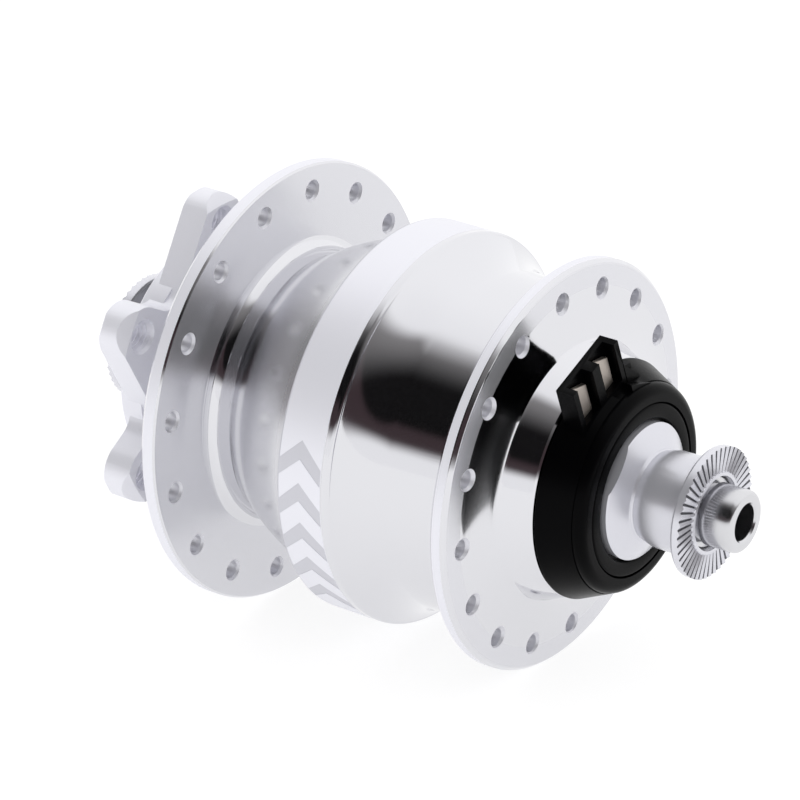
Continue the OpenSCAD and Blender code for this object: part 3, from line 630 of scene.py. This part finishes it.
# ---- Terminals --------------------------------------------------------------------------
# Two flat blades punched from tinned brass strip, with bevelled tips, that stand in the
# tower's slots; the lamp's plug slides over them.
tinned, shader = material("tinned_brass_strip", "#B9B0A8", 1.0, 0.38)
# Its fine streaks are too small to show singly and only make the gloss uneven
streaks = add(tinned, "ShaderNodeTexNoise", {"Scale": 1200, "Detail": 3.0})
tone = add(
    tinned,
    "ShaderNodeMapRange",
    {"Value": streaks.outputs[0], "To Min": 0.3, "To Max": 0.5},
)
tinned.node_tree.links.new(tone.outputs[0], shader.inputs["Roughness"])
for name, side in (("terminal_left", -1), ("terminal_right", 1)):
    centre = side * (DIVIDER + (TOWER_W - DIVIDER - 2 * TOWER_WALL) / 2) / 2
    back = wall_y - 0.05
    strip = [
        (centre - 1.3, back), (centre + 1.3, back), (centre + 1.3, back - 0.8),
        (centre - 1.3, back - 0.8),
    ]
    blade = beside_tower(strip, lambda u: 22.2 - 0.5 * (u - centre + 1.3), 12.3, name)
    tip = blade.modifiers.new("tip", "BEVEL")
    tip.width, tip.segments = 0.18 * MM, 2
    baked(blade)
    blade.data.materials.append(tinned)
    shaded(blade)
    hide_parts(name)
    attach(blade, "axle_assembly")


# ---- Pieces inside the hub --------------------------------------------------------------
# The generator, bearings and seals keep their exact shapes from the frame; each gets the
# finish of the real part, as it would look when the hub is opened.
def inner_finish(name, colour, metallic, roughness, scale, depth_mm, stretch=(1, 1, 1)):
    """A plain workshop finish whose grain is stretched to suit how the piece was made."""
    made, shader = material(name, colour, metallic, roughness)
    place = add(made, "ShaderNodeTexCoord").outputs["Object"]
    spread = add(made, "ShaderNodeMapping", {"Vector": place, "Scale": stretch})
    grain = add(
        made, "ShaderNodeTexNoise", {"Vector": spread.outputs[0], "Scale": scale / MM}
    )
    bump = add(
        made, "ShaderNodeBump", {"Height": grain.outputs[0], "Distance": depth_mm * MM}
    )
    made.node_tree.links.new(bump.outputs["Normal"], shader.inputs["Normal"])
    return made


inner_finishes = {
    inner_finish("oxide_steel", "#6B6E73", 1.0, 0.42, 2.0, 0.004): (
        "left_sleeve", "right_sleeve", "stator_core", "claw_plate_left", "claw_plate_right",
        "magnet_yoke",
    ),
    inner_finish("ground_bearing_steel", "#B9BBC0", 1.0, 0.14, 4.0, 0.001): tuple(
        f"{side}_bearing_{ring}"
        for side in ("left", "right")
        for ring in ("inner", "outer", "balls")
    ),
    inner_finish("pressed_brass", "#C6A468", 1.0, 0.3, 3.0, 0.002): (
        "left_bearing_cage", "right_bearing_cage",
    ),
    inner_finish("enamelled_copper_wire", "#B4612C", 0.8, 0.3, 0.4, 0.1, (1, 12, 1)): (
        "coil_winding",
    ),
    inner_finish("moulded_bobbin_nylon", "#D8D2BE", 0.0, 0.45, 2.0, 0.003): ("coil_bobbin",),
    inner_finish("nickel_plated_magnet", "#A7A8AB", 1.0, 0.25, 2.0, 0.002): ("magnets",),
    inner_finish("wire_insulation", "#9A241F", 0.0, 0.4, 3.0, 0.003): ("coil_leads",),
    inner_finish("seal_rubber", "#1B1B1C", 0.0, 0.6, 5.0, 0.006): (
        "left_dust_cover", "right_seal",
    ),
}
for made, nodes in inner_finishes.items():
    for name in nodes:
        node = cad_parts[name]
        node.data.materials.clear()
        node.data.materials.append(made)


# ---- Floor and light --------------------------------------------------------------------
# A white sweep under plain soft light. The floor touches both flanges, so it is tilted a
# little against the axle. Seen directly or mirrored it is whiter than the light it gives
# off, so it reads as overexposed paper, and it keeps the object's soft shadow.
tilt = math.atan2(LEFT_FLANGE_R - RIGHT_FLANGE_R, 23.5 + 24.0)
mesh = bmesh.new()
corners = [(-3, -3, 0), (3, -3, 0), (3, 3, 0), (-3, 3, 0)]
mesh.faces.new([mesh.verts.new(c) for c in corners])
floor = finished("floor", mesh)
floor.rotation_euler = (-tilt, 0, 0)
floor.location = (0, 23.5 * MM, -(LEFT_FLANGE_R + 0.05) * MM)
paper = bpy.data.materials.new("white_paper")
paper.use_nodes = True
paper.node_tree.nodes.clear()
matt = add(paper, "ShaderNodeBsdfDiffuse", {"Color": srgb("#C4C4C5")})
glow = add(paper, "ShaderNodeEmission", {"Color": srgb("#FFFFFF"), "Strength": 0.42})
lit = add(paper, "ShaderNodeAddShader", {0: matt.outputs[0], 1: glow.outputs[0]})
pale = add(paper, "ShaderNodeBsdfDiffuse", {"Color": srgb("#959595")})
white = add(paper, "ShaderNodeEmission", {"Color": srgb("#FFFFFF"), "Strength": 0.8})
shown = add(paper, "ShaderNodeAddShader", {0: pale.outputs[0], 1: white.outputs[0]})
path = add(paper, "ShaderNodeLightPath")
direct = add(
    paper, "ShaderNodeMath",
    {0: path.outputs["Is Camera Ray"], 1: path.outputs["Is Glossy Ray"]}, operation="MAXIMUM",
)
both = add(
    paper, "ShaderNodeMixShader", {0: direct.outputs[0], 1: lit.outputs[0], 2: shown.outputs[0]}
)
add(paper, "ShaderNodeOutputMaterial", {"Surface": both.outputs[0]})
floor.data.materials.append(paper)

# The white room is open behind the camera, and that dark opening is what the polished metal
# mirrors. Its edges are planes through the hub, found from where the dark starts on the drum.
world = bpy.data.worlds.new("studio")
bpy.context.scene.world = world
world.use_nodes = True
world.node_tree.nodes.clear()
look = add(world, "ShaderNodeTexCoord").outputs["Generated"]


def across(direction, start, end):
    """A soft step from 0 to 1 as the view direction turns towards the given one."""
    share = add(world, "ShaderNodeVectorMath", {0: look, 1: direction}, operation="DOT_PRODUCT")
    return add(
        world,
        "ShaderNodeMapRange",
        {"Value": share.outputs["Value"], "From Min": start, "From Max": end},
        interpolation_type="SMOOTHSTEP",
    ).outputs[0]


def times(one, other):
    """Two shares multiplied."""
    return add(world, "ShaderNodeMath", {0: one, 1: other}, operation="MULTIPLY").outputs[0]


def mixed(share, one, other):
    """A colour between two others."""
    inputs = {0: share, 6: one, 7: other}
    return add(world, "ShaderNodeMix", inputs, data_type="RGBA").outputs[2]


left_edge = times(
    across((-1.0, -0.35, 0.0), -0.53, -0.17), across((-1.0, -0.891, -1.943), -2.29, -1.69)
)
sill = across((0.436, 0.054, 1.0), -0.28, -0.12)
upwards = (1.526, -0.272, 1.407)
lintel = add(
    world, "ShaderNodeMath", {0: 1.0, 1: across(upwards, 0.95, 1.3)},
    operation="SUBTRACT",
).outputs[0]
opening = times(times(left_edge, sill), lintel)
# Inside it is nearly black, hazier towards the top and a dull red-brown along the bottom
floor_tone = mixed(across((0, 0, 1), 0.34, 0.44), srgb("#3B3033"), srgb("#0B0A0B"))
inside = mixed(across(upwards, 0.1, 1.15), floor_tone, srgb("#868484"))
outside = mixed(across((1.0, 0.0, 0.0), -0.3, 0.6), srgb("#F3F3F4"), srgb("#FFFFFF"))
shade = mixed(opening, outside, inside)
room = add(world, "ShaderNodeBackground", {"Color": shade, "Strength": 1.16})
plain = add(world, "ShaderNodeBackground", {"Color": srgb("#FFFFFF"), "Strength": 1.0})
# Only mirrored rays see the opening: everything else gets the plain white of the tent
path = add(world, "ShaderNodeLightPath")
seen = add(
    world, "ShaderNodeMixShader",
    {0: path.outputs["Is Glossy Ray"], 1: plain.outputs[0], 2: room.outputs[0]},
)
add(world, "ShaderNodeOutputWorld", {"Surface": seen.outputs[0]})


bpy.context.scene.view_settings.view_transform = "Standard"
